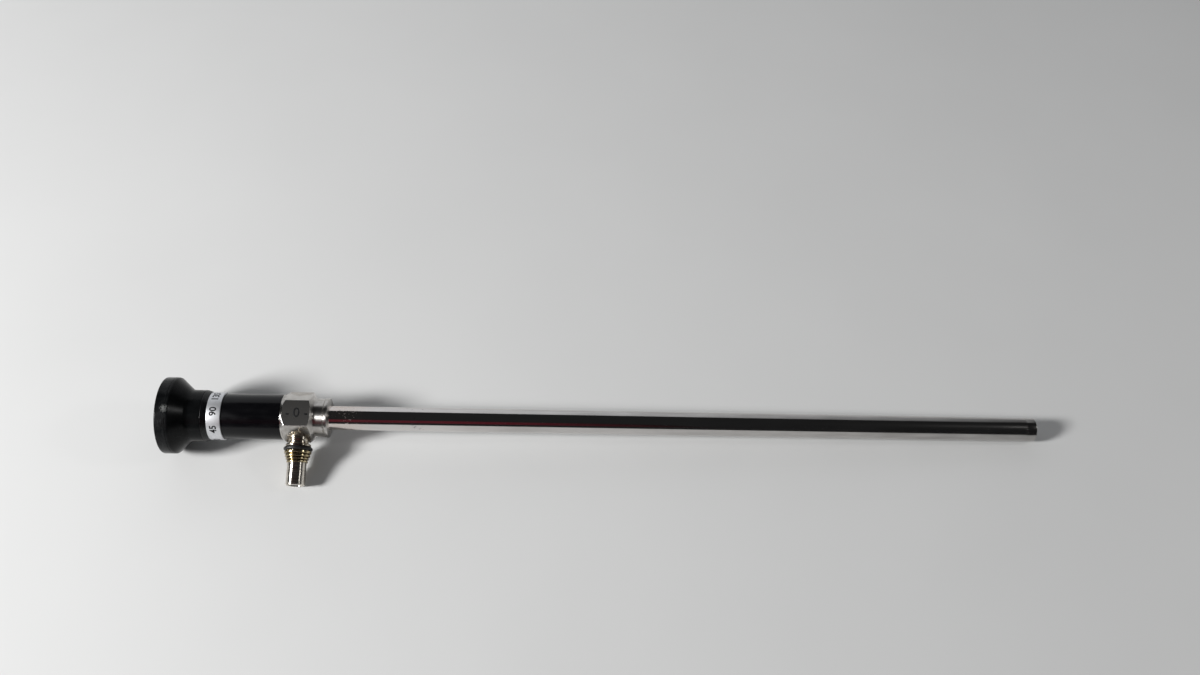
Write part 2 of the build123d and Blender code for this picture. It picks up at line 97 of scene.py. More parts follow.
camera_data = bpy.data.cameras.new("photo_camera")
camera_data.sensor_width = SENSOR_WIDTH
camera_data.lens = SENSOR_WIDTH * LENS_PER_WIDTH
camera = bpy.data.objects.new("photo_camera", camera_data)
bpy.context.scene.collection.objects.link(camera)
camera.matrix_world = (
    Matrix.Translation(
        (
            eyepiece_face.x + CAMERA_AHEAD * MM,
            eyepiece_face.y - CAMERA_ASIDE * MM,
            CAMERA_HEIGHT * MM,
        )
    )
    @ Matrix.Rotation(-radians(CAMERA_TURN), 4, "Z")
    @ Matrix.Rotation(radians(90 - CAMERA_DIP), 4, "X")
    @ Matrix.Rotation(radians(CAMERA_ROLL), 4, "Z")
)
bpy.context.scene.camera = camera


# Modelling by hand: rings extruded from a circle, edges rounded, rims bridged


def deselect_all():
    """Leave nothing selected."""
    bpy.ops.object.select_all(action="DESELECT")


def only(piece):
    """Make one piece the selected and active one."""
    deselect_all()
    piece.select_set(True)
    bpy.context.view_layer.objects.active = piece


def round_edges(piece, rings):
    """Round the ring edges that a turned outline marks with a radius."""
    bpy.context.tool_settings.mesh_select_mode = (False, True, False)
    tolerance = 0.002 * MM
    for width in sorted({ring[2] for ring in rings}, reverse=True):
        bpy.ops.mesh.select_all(action="DESELECT")
        net = bmesh.from_edit_mesh(piece.data)
        for edge in net.edges:
            a, b = (vert.co for vert in edge.verts)
            if abs(a.z - b.z) > tolerance:
                continue
            radius = hypot(a.x, a.y)
            if abs(radius - hypot(b.x, b.y)) > tolerance:
                continue
            for distance, ring_r, ring_width in rings:
                here = abs(a.z - distance * MM) < tolerance
                if here and ring_width == width and abs(radius - ring_r * MM) < tolerance:
                    edge.select_set(True)
        bmesh.update_edit_mesh(piece.data)
        bpy.ops.mesh.bevel(offset=width * MM, segments=5, affect="EDGES")
    bpy.context.tool_settings.mesh_select_mode = (True, False, False)


def turned(name, place, outline, sides=SIDES, solid=False):
    """Turn a piece: a circle extruded ring by ring along (distance, radius, rounding).

    The last ring is bridged to the first, or both are filled where the piece is solid.
    """
    points = [(*point, 0.0)[:3] for point in outline]
    deselect_all()
    bpy.ops.mesh.primitive_circle_add(vertices=sides, radius=points[0][1] * MM)
    piece = bpy.context.object
    piece.name = name
    bpy.ops.object.mode_set(mode="EDIT")
    bpy.ops.mesh.select_all(action="SELECT")
    bpy.ops.transform.translate(value=(0, 0, points[0][0] * MM))
    for (z0, r0, _), (z1, r1, _) in zip(points, points[1:]):
        step = {"value": (0, 0, (z1 - z0) * MM)}
        bpy.ops.mesh.extrude_region_move(TRANSFORM_OT_translate=step)
        if r1 != r0:
            grow = r1 / r0
            bpy.ops.transform.resize(value=(grow, grow, 1), center_override=(0, 0, z1 * MM))
    bpy.ops.mesh.select_all(action="DESELECT")
    bpy.ops.mesh.select_non_manifold(extend=False)
    if solid:
        bpy.ops.mesh.fill_holes(sides=0)
    else:
        bpy.ops.mesh.bridge_edge_loops()
    rounded = [point for point in points if point[2] > 0]
    if rounded:
        round_edges(piece, rounded)
    bpy.ops.mesh.select_all(action="SELECT")
    bpy.ops.mesh.normals_make_consistent(inside=False)
    bpy.ops.object.mode_set(mode="OBJECT")
    piece.matrix_world = place
    bpy.ops.object.transform_apply(location=True, rotation=True, scale=True)
    bpy.ops.object.shade_smooth_by_angle(angle=SMOOTH_ANGLE)
    return piece


dressed = []


def stand_for(piece, slot, *nodes):
    """Ride on the object, take a slot's finish and stand for CAD nodes."""
    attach(piece, "root")
    if nodes:
        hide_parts(*nodes)
    dressed.append((piece, slot))
    return piece


def cut(piece, operation, cutter):
    """Apply a Boolean with a cutter, which is then removed."""
    only(piece)
    tool = piece.modifiers.new("cut", "BOOLEAN")
    tool.operation = operation
    tool.solver = "EXACT"
    tool.object = cutter
    bpy.ops.object.modifier_apply(modifier=tool.name)
    bpy.data.objects.remove(cutter)
    # A cut leaves its vertices in any order, and later steps follow that order
    bpy.ops.object.mode_set(mode="EDIT")
    bpy.ops.mesh.select_all(action="SELECT")
    bpy.ops.mesh.sort_elements(type="CURSOR_DISTANCE", elements={"VERT", "EDGE", "FACE"})
    bpy.ops.object.mode_set(mode="OBJECT")


def keep_flats_flat(piece):
    """Let the large faces keep their own normals, so that they mirror as flats."""
    only(piece)
    flats = piece.modifiers.new("flats", "WEIGHTED_NORMAL")
    flats.mode = "FACE_AREA"
    flats.weight = 100
    flats.keep_sharp = True
    bpy.ops.object.modifier_apply(modifier=flats.name)


# Sizes that several pieces share, read from the frame
_, cap_end, _, flange_r = extent("eyepiece_cap", scope)
_, lock_end, carrier_r, neck_r = extent("lock_ring", scope)
_, band_end, _, band_r = extent("label_band", scope)
_, sleeve_end, _, sleeve_r = extent("body_sleeve", scope)
core_start, _, core_bore_r, _ = extent("core_tube", scope)
hex_start, nose_end, hex_bore_r, _ = extent("hex_body", scope)
_, nose_flange_end, root_bore_r, nose_flange_r = extent("nose_flange", scope)
shaft_start, ferrule_start, shaft_bore_r, shaft_root_r = extent("shaft_tube", scope)
shaft_r = mounts["shaft"]["dims"]["r_mm"]
ferrule_back, tip, ferrule_bore_r, _ = extent("distal_ferrule", scope)
seat_reach, stem_end, stem_bore_r, collar_r = extent("post_stem", post)
seal_start, seal_end, seal_inner_r, seal_outer_r = extent("post_seal", post)
rings_start, rings_end, spigot_r, _ = extent("ring_sleeve", post)
_, middle_end, _, middle_r = extent("middle_sleeve", post)
_, post_end, _, post_end_r = extent("post_end_sleeve", post)
post_window_start, _, _, post_window_r = extent("post_window", post)
window_seat, _, aperture_r, window_ring_r = extent("ocular_window_ring", scope)

# Gap that keeps a drawn face off the face that it meets
FINE = 0.05

# Open line that a joint shows between two turned pieces
SEAM_GAP = 0.03

# Across the flats of the hexagon, and the length of the round nose in front of it
HEX_FLATS = 18.9
NOSE_LENGTH = 4.3

# Place of the chip in the eyepiece rim, high on the light post's side
CHIP_PLACE = scope @ Vector((0.3 * MM, -16.0 * MM, 4.0 * MM))


# Eyepiece cap: a moulded rim with a soft crown, a cone blended into the neck


def make_eyepiece_cap():
    rim_width = 5.2
    cone_length = 5.6
    rim_round = 0.5
    cone_blend = 1.1
    rim_line_back = 1.1
    rim_line_width = 0.22
    rim_line_depth = 0.12
    neck_lip = 0.25
    funnel_mouth_r = 12.5
    funnel_depth = 2.6
    front_land_r = 14.6
    cone_end = rim_width + cone_length
    rim_line = rim_width - rim_line_back
    outline = [
        (0.0, funnel_mouth_r, 0.35),
        (0.0, front_land_r),
        (0.0, flange_r, rim_round),
        (rim_line, flange_r),
        (rim_line + rim_line_width * 0.3, flange_r - rim_line_depth),
        (rim_line + rim_line_width * 0.7, flange_r - rim_line_depth),
        (rim_line + rim_line_width, flange_r),
        (rim_width, flange_r, rim_round),
        (cone_end, neck_r, cone_blend),
        (cap_end, neck_r, neck_lip),
        (cap_end, carrier_r),
        (core_start, carrier_r),
        (core_start, window_ring_r),
        (window_seat, window_ring_r),
        (window_seat, aperture_r),
        (funnel_depth, aperture_r, 0.2),
    ]
    piece = turned("eyepiece_cap_moulding", scope, outline)
    return stand_for(piece, "black_cap", "eyepiece_cap")


# Lock ring: a taper with fine turned grooves


def make_lock_ring():
    groove_count = 3
    groove_pitch = 0.55
    groove_width = 0.24
    groove_depth = 0.14
    step_up = 0.1
    edge = 0.12
    back_r = band_r + step_up
    middle = (cap_end + lock_end) / 2
    outline = [(cap_end, carrier_r), (cap_end, neck_r, edge)]

    def flank_r(distance):
        share = (distance - cap_end) / (lock_end - cap_end)
        return neck_r + (back_r - neck_r) * share

    for number in range(groove_count):
        centre = middle + groove_pitch * (number - (groove_count - 1) / 2)
        for offset, depth in ((-0.5, 0), (-0.25, 1), (0.25, 1), (0.5, 0)):
            distance = centre + offset * groove_width
            outline.append((distance, flank_r(distance) - depth * groove_depth))
    outline += [(lock_end, back_r, edge), (lock_end, carrier_r)]
    piece = turned("lock_ring_turned", scope, outline)
    return stand_for(piece, "black_ring", "lock_ring")


# Silver band and black sleeve: plain turned shells with broken edges


def make_label_band():
    edge = 0.18
    outline = [
        (lock_end, carrier_r),
        (lock_end, band_r, edge),
        (band_end, band_r, edge),
        (band_end, carrier_r),
    ]
    piece = turned("label_band_turned", scope, outline)
    return stand_for(piece, "silver_band", "label_band")


def make_body_sleeve():
    edge = 0.2
    outline = [
        (band_end, carrier_r),
        (band_end, sleeve_r, edge),
        (sleeve_end, sleeve_r, edge),
        (sleeve_end, carrier_r),
    ]
    piece = turned("body_sleeve_turned", scope, outline)
    return stand_for(piece, "black_sleeve", "body_sleeve")


# Hexagonal body: a turned blank cut to six flats, its edges rounded by polishing


def make_hex_body():
    collar_width = 0.6
    back_chamfer = 1.4
    front_chamfer = 1.8
    nose_r = 8.1
    groove_width = 0.35
    groove_depth = 0.3
    spare = 0.3
    overrun = 0.5
    bore_step = 1.0
    edge = 0.16
    seat_r = 4.48
    weld = 0.03
    corner_r = HEX_FLATS / 2 / cos(radians(30))
    hex_end = nose_end - NOSE_LENGTH
    collar_face = sleeve_end + collar_width
    back_slope = (corner_r - sleeve_r) / back_chamfer
    front_slope = (corner_r - nose_r) / front_chamfer
    outline = [
        (hex_start, hex_bore_r),
        (hex_start, core_bore_r - FINE),
        (sleeve_end, core_bore_r - FINE),
        (sleeve_end, sleeve_r, 0.15),
        (collar_face, sleeve_r),
        (collar_face + back_chamfer + spare / back_slope, corner_r + spare),
        (hex_end - front_chamfer - spare / front_slope, corner_r + spare),
        (hex_end, nose_r),
        (nose_end - groove_width, nose_r, 0.06),
        (nose_end - groove_width, nose_r - groove_depth),
        (nose_end, nose_r - groove_depth),
        (nose_end, root_bore_r),
        (shaft_start, root_bore_r),
        (shaft_start, shaft_bore_r),
        (shaft_start - bore_step, shaft_bore_r),
        (shaft_start - bore_step, hex_bore_r),
    ]
    # A part of a step aside, so that no edge of the blank meets an edge of a cutter
    aside = Matrix.Rotation(0.3 * tau / SIDES, 4, "Z")
    piece = turned("hex_body_machined", scope @ aside, outline)

    cutter = turned(
        "flats_cutter",
        scope @ Matrix.Rotation(radians(30), 4, "Z"),
        [
            (collar_face + FINE, corner_r),
            (collar_face + FINE, corner_r * 2),
            (hex_end + overrun, corner_r * 2),
            (hex_end + overrun, corner_r),
        ],
        sides=6,
    )
    cut(piece, "DIFFERENCE", cutter)
    seat_outline = [(seat_reach, seat_r), (seat_reach * 2, seat_r)]
    seat = turned("seat_cutter", post @ aside, seat_outline, solid=True)
    cut(piece, "DIFFERENCE", seat)

    only(piece)
    bpy.ops.object.mode_set(mode="EDIT")
    bpy.ops.mesh.select_all(action="SELECT")
    bpy.ops.mesh.remove_doubles(threshold=weld * MM)
    bpy.ops.object.mode_set(mode="OBJECT")
    polish = piece.modifiers.new("polish", "BEVEL")
    polish.width = edge * MM
    polish.segments = 3
    polish.limit_method = "ANGLE"
    polish.angle_limit = radians(20)
    polish.use_clamp_overlap = False
    bpy.ops.object.modifier_apply(modifier=polish.name)
    bpy.ops.object.shade_smooth_by_angle(angle=SMOOTH_ANGLE)
    keep_flats_flat(piece)
    return stand_for(piece, "body_steel", "hex_body")


def make_nose_flange():
    edge = 0.5
    outline = [
        (nose_end, root_bore_r),
        (nose_end, nose_flange_r, edge * 0.6),
        (nose_flange_end, nose_flange_r, edge),
        (nose_flange_end, root_bore_r),
    ]
    piece = turned("nose_flange_turned", scope, outline)
    return stand_for(piece, "body_steel", "nose_flange")


# Shaft: one long drawn tube, its thicker root brazed into the nose flange


def make_shaft_tube():
    root_lip = 0.12
    root_round = 0.1
    seam_round = 0.04
    root_end = nose_flange_end + root_lip
    seam = ferrule_start - SEAM_GAP
    outline = [
        (shaft_start, shaft_bore_r),
        (shaft_start, shaft_root_r),
        (root_end, shaft_root_r, root_round),
        (root_end, shaft_r, root_round),
        (seam, shaft_r, seam_round),
        (seam, shaft_bore_r),
    ]
    piece = turned("shaft_tube_drawn", scope, outline)
    return stand_for(piece, "shaft_steel", "shaft_tube")


def make_distal_ferrule():
    edge = 0.25
    seam_round = 0.05
    outline = [
        (ferrule_back, ferrule_bore_r),
        (ferrule_back, shaft_bore_r - FINE),
        (ferrule_start, shaft_bore_r - FINE),
        (ferrule_start, shaft_r, seam_round),
        (tip, shaft_r, edge),
        (tip, ferrule_bore_r, seam_round),
    ]
    piece = turned("distal_ferrule_turned", scope, outline)
    return stand_for(piece, "shaft_steel", "distal_ferrule")


# Light post: stem, rubber ring, stained rings and two bright sleeves


def make_post_stem():
    boss_r = 4.45
    boss_length = 2.6
    boss_slope = 0.5
    waist_r = 4.2
    waist_length = 1.25
    collar_width = 1.05
    boss_end = seat_reach + boss_length
    waist_start = boss_end + boss_slope
    collar_start = waist_start + waist_length
    collar_end = collar_start + collar_width
    outline = [
        (seat_reach, stem_bore_r),
        (seat_reach, boss_r),
        (boss_end, boss_r, 0.2),
        (waist_start, waist_r, 0.3),
        (collar_start, waist_r, 0.3),
        (collar_start, collar_r, 0.35),
        (collar_end, collar_r, 0.35),
        (collar_end, seal_inner_r),
        (rings_start, seal_inner_r),
        (rings_start, spigot_r - FINE),
        (stem_end, spigot_r - FINE),
        (stem_end, stem_bore_r),
    ]
    piece = turned("post_stem_turned", post, outline)
    return stand_for(piece, "post_steel", "post_stem")


def make_post_seal():
    count = 28
    middle = (seal_start + seal_end) / 2
    section = (seal_outer_r - seal_inner_r) / 2
    centre_r = (seal_outer_r + seal_inner_r) / 2
    outline = []
    for number in range(count):
        angle = tau * number / count
        outline.append((middle - section * cos(angle), centre_r + section * sin(angle)))
    piece = turned("post_seal_ring", post, outline)
    return stand_for(piece, "seal_rubber", "post_seal")


# Rings turned on the post, and the gap between two of them
RING_WIDTHS = (1.1, 0.9, 0.6, 0.7)
RING_GAP = 0.5


def make_ring_sleeve():
    ring_radii = (5.55, 5.15, 4.75, 4.35)
    gap_radii = (5.0, 4.55, 4.15)
    crest_round = 0.2
    gap_round = 0.08
    outline = [(rings_start, spigot_r)]
    begin = rings_start
    for number, (radius, width) in enumerate(zip(ring_radii, RING_WIDTHS)):
        finish = begin + width
        outline += [(begin, radius, crest_round), (finish, radius, crest_round)]
        if number < len(gap_radii):
            floor = gap_radii[number]
            outline.append((finish, floor, gap_round))
            outline.append((finish + RING_GAP, floor, gap_round))
        begin = finish + RING_GAP
    outline.append((rings_end, spigot_r))
    piece = turned("ring_sleeve_turned", post, outline)
    return stand_for(piece, "stained_steel", "ring_sleeve")


def make_middle_sleeve():
    outline = [
        (rings_end, spigot_r),
        (rings_end, middle_r, 0.12),
        (middle_end - SEAM_GAP, middle_r, 0.07),
        (middle_end - SEAM_GAP, spigot_r),
    ]
    piece = turned("middle_sleeve_turned", post, outline)
    return stand_for(piece, "post_steel", "middle_sleeve")


def make_post_end_sleeve():
    outline = [
        (middle_end, spigot_r),
        (middle_end, post_end_r, 0.08),
        (post_end, post_end_r, 0.34),
        (post_end, post_window_r + FINE, 0.1),
        (post_window_start, post_window_r + FINE),
        (post_window_start, stem_bore_r),
        (stem_end, stem_bore_r),
        (stem_end, spigot_r),
    ]
    piece = turned("post_end_sleeve_turned", post, outline)
    return stand_for(piece, "post_steel", "post_end_sleeve")


# Plain figures: degrees round the silver band, a zero on the hexagon


def printed(name, words, height, place, carrier):
    """Flat figures made a mesh, wrapped onto a carrier and given the thickness of paint."""
    lift = 0.008
    thickness = 0.014
    embolden = 0.09
    capital_share = 0.7
    weld = 0.0005
    deselect_all()
    bpy.ops.object.text_add()
    piece = bpy.context.object
    piece.name = name
    piece.data.body = words
    piece.data.size = height * MM / capital_share
    piece.data.align_x = "CENTER"
    piece.data.align_y = "CENTER"
    piece.data.resolution_u = 6
    piece.data.offset = embolden * MM
    bpy.ops.object.convert(target="MESH")
    bpy.ops.object.mode_set(mode="EDIT")
    bpy.ops.mesh.select_all(action="SELECT")
    bpy.ops.mesh.remove_doubles(threshold=weld * MM)
    bpy.ops.mesh.quads_convert_to_tris()
    bpy.ops.mesh.subdivide(number_cuts=3)
    bpy.ops.object.mode_set(mode="OBJECT")
    piece.matrix_world = place
    bpy.ops.object.transform_apply(location=True, rotation=True, scale=True)
    wrap = piece.modifiers.new("wrap", "SHRINKWRAP")
    wrap.wrap_method = "NEAREST_SURFACEPOINT"
    wrap.wrap_mode = "ABOVE_SURFACE"
    wrap.target = carrier
    wrap.offset = lift * MM
    bpy.ops.object.modifier_apply(modifier=wrap.name)
    paint = piece.modifiers.new("paint", "SOLIDIFY")
    paint.thickness = thickness * MM
    bpy.ops.object.modifier_apply(modifier=paint.name)
    return piece


def make_dial_numbers(carrier):
    """Degrees round the band, read upwards from the light post's side."""
    count = 8
    height = 2.7
    middle = (lock_end + band_end) / 2
    turn = Matrix(((0, 0, 1, 0), (-1, 0, 0, 0), (0, -1, 0, 0), (0, 0, 0, 1)))
    figures = []
    for number in range(count):
        place = (
            scope
            @ Matrix.Rotation(-tau * number / count, 4, "Z")
            @ Matrix.Translation((band_r * MM, 0, middle * MM))
            @ turn
        )
        words = str(number * 360 // count)
        figures.append(printed(f"dial_number_{number}", words, height, place, carrier))
    deselect_all()
    for figure in figures:
        figure.select_set(True)
    bpy.context.view_layer.objects.active = figures[0]
    bpy.ops.object.join()
    piece = bpy.context.object
    piece.name = "dial_numbers"
    return stand_for(piece, "silver_band")


def make_index_mark(carrier):
    """Plain zero mark on the facet that faces up beside the light post."""
    height = 3.9
    set_back = 2.0
    middle = (sleeve_end + nose_end) / 2 - set_back
    facet_turn = -radians(90)
    turn = Matrix(((0, 0, 1, 0), (0, -1, 0, 0), (1, 0, 0, 0), (0, 0, 0, 1)))
    place = (
        scope
        @ Matrix.Rotation(facet_turn, 4, "Z")
        @ Matrix.Translation((HEX_FLATS / 2 * MM, 0, middle * MM))
        @ turn
    )
    piece = printed("index_mark", "- 0 -", height, place, carrier)
    return stand_for(piece, "body_steel")


make_eyepiece_cap()
make_lock_ring()
band = make_label_band()
make_body_sleeve()
hexagon = make_hex_body()
make_nose_flange()
make_shaft_tube()
make_distal_ferrule()
make_post_stem()
make_post_seal()
make_ring_sleeve()
make_middle_sleeve()
make_post_end_sleeve()
figures = (make_dial_numbers(band), make_index_mark(hexagon))


# Materials


def linear(code):
    """Linear colour of an sRGB hex value."""
    shares = [int(code[i : i + 2], 16) / 255 for i in (1, 3, 5)]
    return [*((c / 12.92 if c <= 0.04045 else ((c + 0.055) / 1.055) ** 2.4) for c in shares), 1.0]


def add(tree, kind, inputs=None, output=0, **settings):
    """Add a node with its settings, and its inputs as values, hex colours or links."""
    made = tree.nodes.new("ShaderNode" + kind)
    for name, value in settings.items():
        setattr(made, name, value)
    for socket, value in (inputs or {}).items():
        if isinstance(value, bpy.types.NodeSocket):
            tree.links.new(value, made.inputs[socket])
        elif isinstance(value, str):
            made.inputs[socket].default_value = linear(value)
        else:
            made.inputs[socket].default_value = value
    return made.outputs[output]


def finish_of(name, **sockets):
    """New material with one Principled shader, its even values set on its own sockets."""
    made = bpy.data.materials.new(name)
    made.use_nodes = True
    shader = made.node_tree.nodes["Principled BSDF"]
    for socket, value in sockets.items():
        shader.inputs[socket.replace("_", " ")].default_value = value
    return made, made.node_tree, shader


def feed(shader, **patterns):
    """Link patterns to the sockets that they vary."""
    for socket, pattern in patterns.items():
        shader.id_data.links.new(pattern, shader.inputs[socket.replace("_", " ")])


def axis_coordinates(tree, place):
    """Object coordinates turned so that Z runs along an axis, in metres."""
    spot = add(tree, "TexCoord", output="Object")
    settings = {"Vector": spot, "Location": place.translation, "Rotation": place.to_euler()}
    return add(tree, "Mapping", settings, vector_type="TEXTURE")


def grains(across, lengthwise):
    """Scale of a pattern whose grains have two sizes, in millimetres."""
    return (1 / (across * MM), 1 / (across * MM), 1 / (lengthwise * MM))


def brush_along(tree, shader, direction, amount):
    """Fine turning lines: a highlight is drawn out along the axis that they go round."""
    across = add(tree, "CombineXYZ", {0: direction.x, 1: direction.y, 2: direction.z})
    feed(shader, Tangent=across)
    shader.inputs["Anisotropic"].default_value = amount


def between(tree, coordinates, low, high, soft):
    """Mask of the stretch of the axis between two distances in millimetres."""
    z = add(tree, "SeparateXYZ", {0: coordinates}, "Z")
    rise = add(tree, "MapRange", {0: z, 1: (low - soft) * MM, 2: (low + soft) * MM})
    ends = {1: (high - soft) * MM, 2: (high + soft) * MM, 3: 1.0, 4: 0.0}
    fall = add(tree, "MapRange", {0: z, **ends})
    return add(tree, "Math", {0: rise, 1: fall}, operation="MULTIPLY")


def moulded_black_plastic():
    """Moulded high-temperature plastic: near black, satin, rubbed grey where it is handled."""
    made, tree, shader = finish_of("moulded_black_plastic", IOR=1.5, Specular_IOR_Level=0.12)
    spot = axis_coordinates(tree, scope)
    fine = {"Vector": spot, "Scale": 1 / (0.35 * MM), "Detail": 4.0}
    grain = add(tree, "TexNoise", fine)
    broad = {"Vector": spot, "Scale": 1 / (6.0 * MM), "Detail": 4.0, "Roughness": 0.6}
    haze = add(tree, "TexNoise", broad)
    round_it = add(tree, "Mapping", {"Vector": spot, "Scale": grains(2.2, 0.12)})
    thin = {"Vector": round_it, "Scale": 1.0, "Detail": 5.0, "Roughness": 0.65}
    scratch = add(tree, "TexNoise", thin)
    rim = between(tree, spot, -0.5, 4.6, 0.6)
    scratched = add(tree, "MapRange", {0: scratch, 1: 0.5, 2: 0.7})
    handled = add(tree, "MapRange", {0: haze, 1: 0.42, 2: 0.6})
    rubbed = add(tree, "Math", {0: scratched, 1: handled}, operation="MULTIPLY")
    on_rim = add(tree, "MapRange", {0: rim, 3: 0.15, 4: 1.0})
    worn = add(tree, "Math", {0: rubbed, 1: on_rim}, operation="MULTIPLY")
    chip_spot = scope.inverted() @ CHIP_PLACE
    reach = add(tree, "VectorMath", {0: spot, 1: chip_spot}, "Value", operation="DISTANCE")
    ragged = add(tree, "MapRange", {0: grain, 1: 0.35, 2: 0.65, 3: -0.9 * MM, 4: 0.9 * MM})
    torn = add(tree, "Math", {0: reach, 1: ragged})
    chip = add(tree, "MapRange", {0: torn, 1: 0.8 * MM, 2: 1.2 * MM, 3: 0.5, 4: 0.0})
    share = add(tree, "MapRange", {0: haze, 1: 0.35, 2: 0.7})
    base = add(tree, "Mix", {0: share, 6: "#0A0B0C", 7: "#111213"}, 2, data_type="RGBA")
    base = add(tree, "Mix", {0: worn, 6: base, 7: "#3A3B3B"}, 2, data_type="RGBA")
    base = add(tree, "Mix", {0: chip, 6: base, 7: "#8C8D8B"}, 2, data_type="RGBA")
    satin = add(tree, "MapRange", {0: haze, 1: 0.3, 2: 0.7, 3: 0.2, 4: 0.28})
    bump = add(tree, "Bump", {"Height": grain, "Distance": 0.012 * MM, "Strength": 0.35})
    feed(shader, Base_Color=base, Roughness=satin, Normal=bump)
    return made


def turned_black_plastic():
    """Turned black plastic: fine rings left by the lathe, a little shinier than the cap."""
    made, tree, shader = finish_of("turned_black_plastic", IOR=1.5, Specular_IOR_Level=0.4)
    spot = axis_coordinates(tree, scope)
    round_it = add(tree, "Mapping", {"Vector": spot, "Scale": grains(20.0, 0.09)})
    rings_cut = add(tree, "TexNoise", {"Vector": round_it, "Scale": 1.0, "Detail": 2.0})
    haze = add(tree, "TexNoise", {"Vector": spot, "Scale": 1 / (5.0 * MM), "Detail": 3.0})
    share = add(tree, "MapRange", {0: haze, 1: 0.35, 2: 0.7})
    base = add(tree, "Mix", {0: share, 6: "#0B0B0D", 7: "#141416"}, 2, data_type="RGBA")
    satin = add(tree, "MapRange", {0: haze, 1: 0.3, 2: 0.7, 3: 0.26, 4: 0.38})
    bump = add(tree, "Bump", {"Height": rings_cut, "Distance": 0.01 * MM, "Strength": 0.6})
    feed(shader, Base_Color=base, Roughness=satin, Normal=bump)
    return made


def gloss_black_anodised():
    """Black anodised sleeve: smooth and dark, with faint smears and a few hairline scratches."""
    made, tree, shader = finish_of("gloss_black_anodised", IOR=1.5, Specular_IOR_Level=0.22)
    spot = axis_coordinates(tree, scope)
    lengthwise = add(tree, "Mapping", {"Vector": spot, "Scale": grains(3.0, 9.0)})
    wiped = {"Vector": lengthwise, "Scale": 1.0, "Detail": 4.0, "Roughness": 0.6}
    smear = add(tree, "TexNoise", wiped)
    round_it = add(tree, "Mapping", {"Vector": spot, "Scale": grains(1.6, 0.08)})
    thin = {"Vector": round_it, "Scale": 1.0, "Detail": 4.0, "Roughness": 0.6}
    hairline = add(tree, "TexNoise", thin)
    scratched = add(tree, "MapRange", {0: hairline, 1: 0.66, 2: 0.74})
    handled = add(tree, "MapRange", {0: smear, 1: 0.5, 2: 0.62})
    marks = add(tree, "Math", {0: scratched, 1: handled}, operation="MULTIPLY")
    share = add(tree, "MapRange", {0: smear, 1: 0.4, 2: 0.7})
    base = add(tree, "Mix", {0: share, 6: "#060608", 7: "#0C0C0E"}, 2, data_type="RGBA")
    base = add(tree, "Mix", {0: marks, 6: base, 7: "#2C2C2C"}, 2, data_type="RGBA")
    gloss = add(tree, "MapRange", {0: smear, 1: 0.3, 2: 0.75, 3: 0.16, 4: 0.28})
    bump = add(tree, "Bump", {"Height": smear, "Distance": 0.01 * MM, "Strength": 0.3})
    feed(shader, Base_Color=base, Roughness=gloss, Normal=bump)
    return made


def brushed_aluminium_band():
    """Brushed aluminium: fine lines round the band that spread the light, dulled by handling."""
    made, tree, shader = finish_of("brushed_aluminium_band", Metallic=0.85)
    spot = axis_coordinates(tree, scope)
    round_it = add(tree, "Mapping", {"Vector": spot, "Scale": grains(9.0, 0.07)})
    thin = {"Vector": round_it, "Scale": 1.0, "Detail": 3.0, "Roughness": 0.6}
    lines = add(tree, "TexNoise", thin)
    patches = add(tree, "Mapping", {"Vector": spot, "Scale": grains(3.5, 2.5)})
    broad = {"Vector": patches, "Scale": 1.0, "Detail": 4.0, "Roughness": 0.6}
    dull = add(tree, "TexNoise", broad)
    share = add(tree, "MapRange", {0: dull, 1: 0.35, 2: 0.7})
    base = add(tree, "Mix", {0: share, 6: "#DFE0E3", 7: "#C9CACD"}, 2, data_type="RGBA")
    deep = add(tree, "MapRange", {0: lines, 1: 0.6, 2: 0.8})
    base = add(tree, "Mix", {0: deep, 6: base, 7: "#ABACAF"}, 2, data_type="RGBA")
    brushed = add(tree, "MapRange", {0: dull, 1: 0.3, 2: 0.7, 3: 0.4, 4: 0.52})
    bump = add(tree, "Bump", {"Height": lines, "Distance": 0.012 * MM, "Strength": 0.5})
    feed(shader, Base_Color=base, Roughness=brushed, Normal=bump)
    return made


